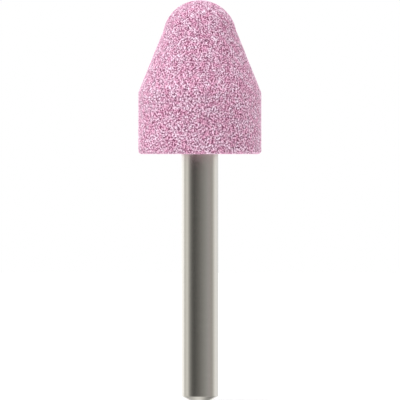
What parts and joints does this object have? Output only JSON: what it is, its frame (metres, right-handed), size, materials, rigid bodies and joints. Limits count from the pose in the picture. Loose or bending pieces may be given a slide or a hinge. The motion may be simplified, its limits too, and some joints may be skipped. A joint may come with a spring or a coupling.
{
  "type": "mounted point",
  "caption": "Pink abrasive head that tapers from a short cylinder to a ball nose, cemented on a plain steel shank that a rotary tool's collet clamps for grinding and deburring.",
  "frame": {"origin": "on the axis, at the head's flat back face, where the free shank begins", "axes": "+Z along the axis from the shank towards the nose; X and Y are alike"},
  "size_m": [0.02, 0.02, 0.065],
  "materials": {
    "abrasive": "matte, open-grained vitrified aluminium oxide",
    "steel": "ground, satin",
    "cement": "matte"
  },
  "bodies": {
    "root": {"abrasive_head": "abrasive", "shank": "steel", "bond_cement": "cement"}
  },
  "joints": []
}
